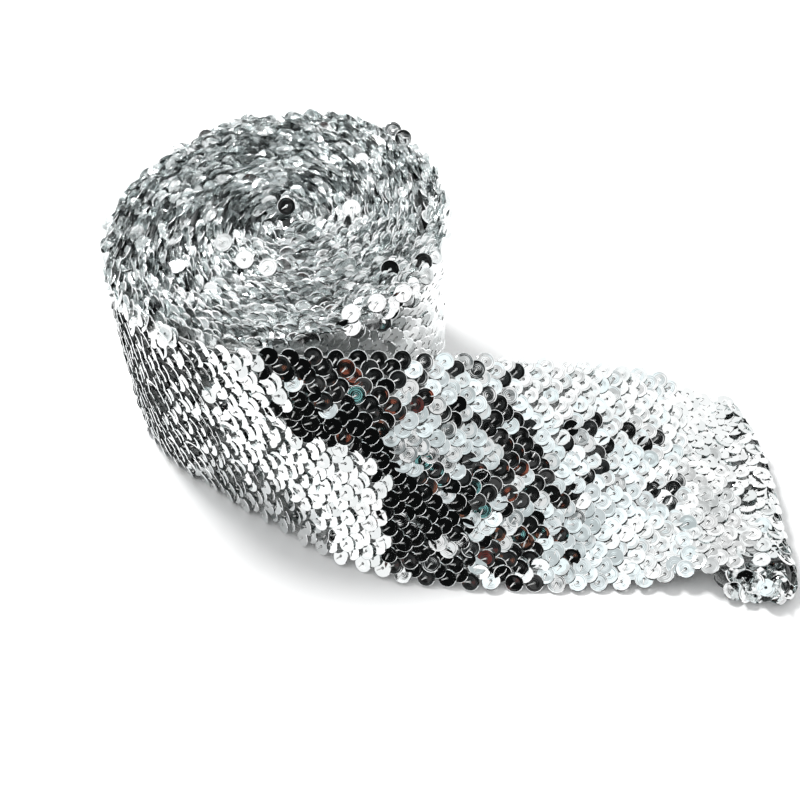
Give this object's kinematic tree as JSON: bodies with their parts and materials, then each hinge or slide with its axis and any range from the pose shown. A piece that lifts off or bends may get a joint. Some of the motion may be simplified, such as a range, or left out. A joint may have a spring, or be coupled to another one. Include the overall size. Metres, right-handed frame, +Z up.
{
  "type": "roll of sequin trim",
  "caption": "Wide silver sequin trim wound into a flat spiral roll that stands on its edge, with the loose end drawn out to the side and its cut end tucked under.",
  "frame": {"origin": "on the roll's axis, on the surface that the roll stands on", "axes": "+Z up along the roll's axis, +X from the roll towards the loose end, +Y away from the side that shows the sequins"},
  "size_m": [0.2214, 0.1557, 0.0771],
  "materials": {
    "wound_sequins": "metallised plastic film, silver, seen edge on in streaks",
    "sequins": "metallised plastic film, mirror silver",
    "knitted_tape": "white stretch knit",
    "stitching": "white sewing thread"
  },
  "bodies": {
    "root": {"wound_roll": "wound_sequins", "loose_end": "sequins"}
  },
  "joints": []
}
